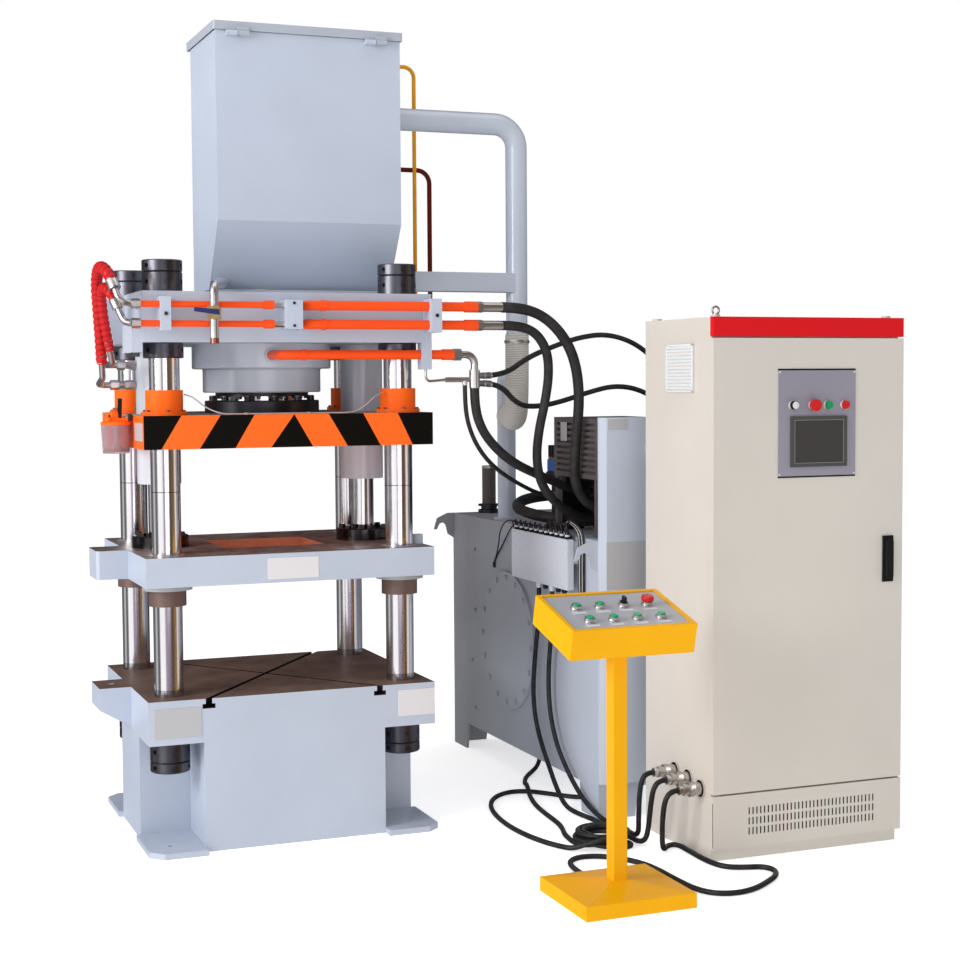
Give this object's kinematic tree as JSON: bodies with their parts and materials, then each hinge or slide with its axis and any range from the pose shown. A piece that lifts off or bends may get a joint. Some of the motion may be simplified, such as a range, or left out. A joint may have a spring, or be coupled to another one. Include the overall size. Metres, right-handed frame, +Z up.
{
  "type": "hydraulic press",
  "caption": "Four-column hydraulic press with a middle platen, prefill tank, oil power unit, electrical cabinet, operator console, and the pipes, hoses and cables between them.",
  "frame": {"origin": "on the floor, at the centre of the four anchor holes of the press bed", "axes": "+X to the right along the press front, +Y away from the operator, +Z up"},
  "size_m": [2.641, 2.568, 2.8413],
  "materials": {
    "machine_paint": "satin",
    "shade_paint": "satin",
    "hazard_paint": "satin",
    "orange_paint": "gloss",
    "white_paint": "fine textured",
    "yellow_paint": "gloss",
    "black_paint": "satin",
    "ground_chrome": "ground",
    "zinc_steel": "bright",
    "black_steel": "black oxide",
    "bronze": "worn",
    "brass": "bright",
    "blue_lever": "gloss",
    "pump_body": "tinted",
    "hose_rubber": "matt",
    "red_sleeve": "ribbed",
    "clear_hose": "clear, wire wound",
    "cable_jacket": "satin",
    "box_plastic": "gloss",
    "button_green": "gloss",
    "button_red": "gloss",
    "button_black": "satin"
  },
  "bodies": {
    "frame": {"bed": "machine_paint", "columns": "ground_chrome", "column_nuts": "black_steel", "crown": "machine_paint", "main_cylinder": "machine_paint", "cylinder_gland": "black_steel", "prefill_valve": "zinc_steel", "prefill_tank": "machine_paint", "drain_valve": "brass", "front_pipes": "orange_paint", "pipe_blocks": "machine_paint", "pipe_fittings": "zinc_steel", "lift_cylinders": "machine_paint", "return_pipe": "machine_paint", "pilot_pipes": "yellow_paint", "oil_tank": "shade_paint", "manhole_cover": "shade_paint", "terminal_box": "box_plastic", "guard_panel": "machine_paint", "oil_cooler": "black_paint", "valve_stack": "black_steel", "pump_motor": "black_paint", "tank_fittings": "black_steel", "cabinet_body": "white_paint", "cable_connectors": "zinc_steel", "console_stand": "yellow_paint", "console_panel": "zinc_steel", "pressure_hoses": "hose_rubber", "long_hoses": "hose_rubber", "lift_hoses": "red_sleeve", "flex_hose": "clear_hose", "cables": "cable_jacket", "cable_coil": "cable_jacket"},
    "slider": {"slider_plate": "hazard_paint", "main_ram": "ground_chrome", "ram_flange": "black_steel", "slider_bushes": "orange_paint", "lube_pump": "pump_body", "lube_lines": "box_plastic"},
    "oil_pump_lever": {"lube_lever": "black_paint"},
    "platen": {"middle_platen": "machine_paint", "platen_bushes": "bronze", "lift_rods": "ground_chrome"},
    "lid": {"tank_lid": "machine_paint"},
    "drain_handle": {"drain_lever": "blue_lever"},
    "rotor": {"motor_shaft": "zinc_steel"},
    "door": {"cabinet_door": "white_paint"},
    "handle": {"door_handle": "black_paint"},
    "key": {"cabinet_key": "button_black"},
    "cabinet_stop_button": {"cabinet_stop": "button_red"},
    "green_button": {"cabinet_green": "button_green"},
    "red_button": {"cabinet_red": "button_red"},
    "selector": {"console_selector": "button_black"},
    "console_stop_button": {"console_stop": "button_red"},
    "button_1": {"console_button_1": "button_green"},
    "button_2": {"console_button_2": "button_green"},
    "button_3": {"console_button_3": "button_green"},
    "button_4": {"console_button_4": "button_green"},
    "button_5": {"console_button_5": "button_green"},
    "button_6": {"console_button_6": "button_green"}
  },
  "joints": [
    {"name": "slider_travel", "type": "slide", "parent": "frame", "child": "slider", "axis": [0, 0, 1], "range_m": [-0.24, 0]},
    {"name": "platen_travel", "type": "slide", "parent": "frame", "child": "platen", "axis": [0, 0, 1], "range_m": [-0.24, 0]},
    {"name": "oil_pump_lever_turn", "type": "hinge", "parent": "slider", "child": "oil_pump_lever", "pos_m": [-0.558, -0.2, 1.483], "axis": [1, 0, 0], "range_deg": [0, 45], "stiffness_Nm_per_rad": 0.6},
    {"name": "lid_hinge", "type": "hinge", "parent": "frame", "child": "lid", "pos_m": [0.1305, -0.242, 2.8], "axis": [1, 0, 0], "range_deg": [0, 100]},
    {"name": "drain_handle_turn", "type": "hinge", "parent": "frame", "child": "drain_handle", "pos_m": [-0.285, -0.502, 1.828], "axis": [0, 1, 0], "range_deg": [-90, 0]},
    {"name": "rotor_spin", "type": "hinge", "parent": "frame", "child": "rotor", "pos_m": [1.66, 0.2, 1.2], "axis": [0, 1, 0], "continuous": true},
    {"name": "door_hinge", "type": "hinge", "parent": "frame", "child": "door", "pos_m": [1.196, -1.208, 0.98], "axis": [0, 0, 1], "range_deg": [-110, 0]},
    {"name": "handle_turn", "type": "hinge", "parent": "door", "child": "handle", "pos_m": [1.866, -1.211, 1.037], "axis": [0, 1, 0], "range_deg": [0, 90]},
    {"name": "key_turn", "type": "hinge", "parent": "door", "child": "key", "pos_m": [1.49, -1.22, 1.509], "axis": [0, 1, 0], "range_deg": [-45, 45]},
    {"name": "cabinet_stop_press", "type": "slide", "parent": "door", "child": "cabinet_stop_button", "axis": [0, 1, 0], "range_m": [0, 0.004], "stiffness_N_per_m": 300},
    {"name": "green_button_press", "type": "slide", "parent": "door", "child": "green_button", "axis": [0, 1, 0], "range_m": [0, 0.003], "stiffness_N_per_m": 300},
    {"name": "red_button_press", "type": "slide", "parent": "door", "child": "red_button", "axis": [0, 1, 0], "range_m": [0, 0.003], "stiffness_N_per_m": 300},
    {"name": "button_1_press", "type": "slide", "parent": "frame", "child": "button_1", "axis": [0, 0.2639, -0.9646], "range_m": [0, 0.003], "stiffness_N_per_m": 300},
    {"name": "button_2_press", "type": "slide", "parent": "frame", "child": "button_2", "axis": [0, 0.2639, -0.9646], "range_m": [0, 0.003], "stiffness_N_per_m": 300},
    {"name": "button_3_press", "type": "slide", "parent": "frame", "child": "button_3", "axis": [0, 0.2639, -0.9646], "range_m": [0, 0.003], "stiffness_N_per_m": 300},
    {"name": "button_4_press", "type": "slide", "parent": "frame", "child": "button_4", "axis": [0, 0.2639, -0.9646], "range_m": [0, 0.003], "stiffness_N_per_m": 300},
    {"name": "button_5_press", "type": "slide", "parent": "frame", "child": "button_5", "axis": [0, 0.2639, -0.9646], "range_m": [0, 0.003], "stiffness_N_per_m": 300},
    {"name": "button_6_press", "type": "slide", "parent": "frame", "child": "button_6", "axis": [0, 0.2639, -0.9646], "range_m": [0, 0.003], "stiffness_N_per_m": 300},
    {"name": "selector_turn", "type": "hinge", "parent": "frame", "child": "selector", "pos_m": [0.774, -1.39965, 0.90578], "axis": [0, -0.2639, 0.9646], "range_deg": [-45, 45]},
    {"name": "console_stop_press", "type": "slide", "parent": "frame", "child": "console_stop_button", "axis": [0, 0.2639, -0.9646], "range_m": [0, 0.003], "stiffness_N_per_m": 300}
  ]
}
